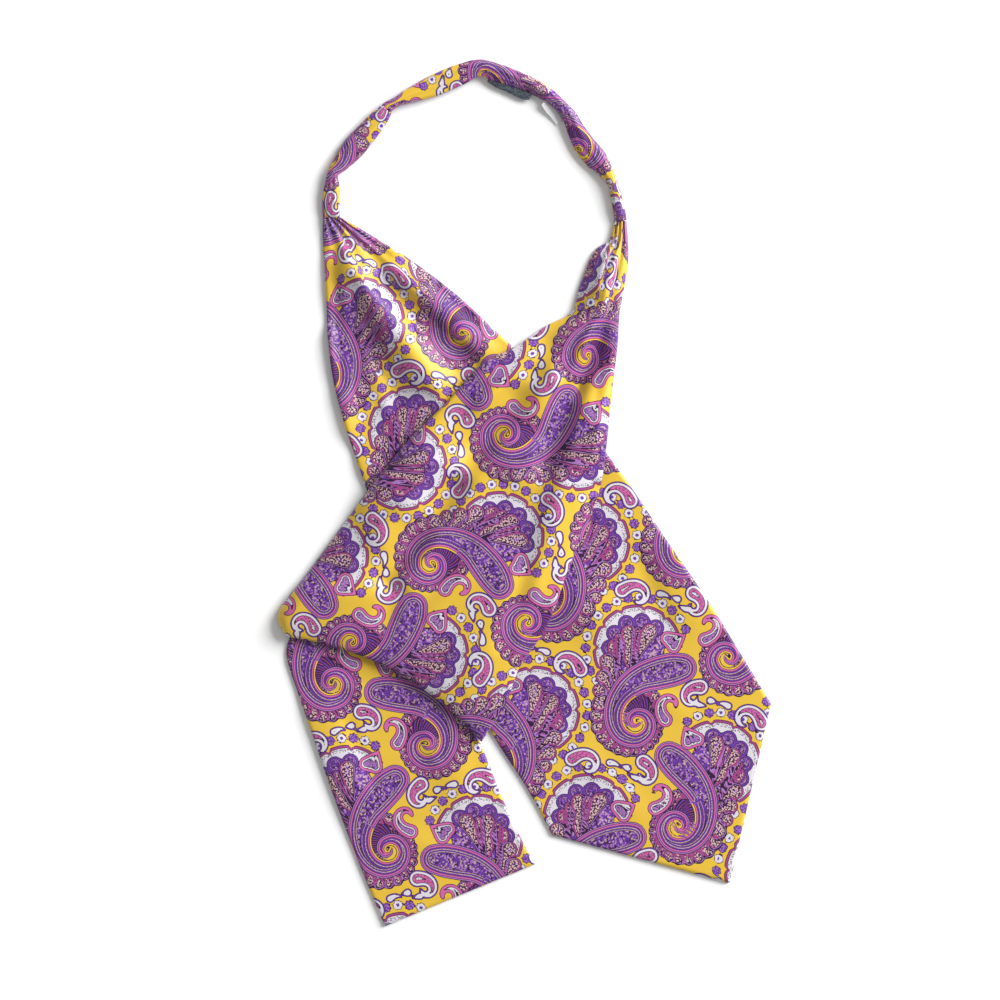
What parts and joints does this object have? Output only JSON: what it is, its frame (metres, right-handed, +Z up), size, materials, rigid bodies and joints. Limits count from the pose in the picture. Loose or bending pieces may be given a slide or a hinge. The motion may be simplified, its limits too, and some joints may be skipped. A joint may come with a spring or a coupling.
{
  "type": "silk cravat",
  "caption": "Silk day cravat laid flat: a gathered neckband loop, a pointed blade crossed under a folded one with a square end",
  "frame": {"origin": "on the table under the middle of the cravat's outline", "axes": "+Z up from the table, +Y from the ends of the blades to the back of the neckband, +X to the right seen from above"},
  "size_m": [0.286, 0.5025, 0.0155],
  "materials": {
    "silk": "satin",
    "lining": "matte",
    "label": "satin"
  },
  "bodies": {
    "root": {"neckband_left": "silk", "neckband_back": "silk", "neckband_right": "silk", "neckband_lining": "lining", "blank_label": "label", "left_panel": "silk", "pointed_blade": "silk", "over_panel": "silk", "square_end": "silk"}
  },
  "joints": []
}
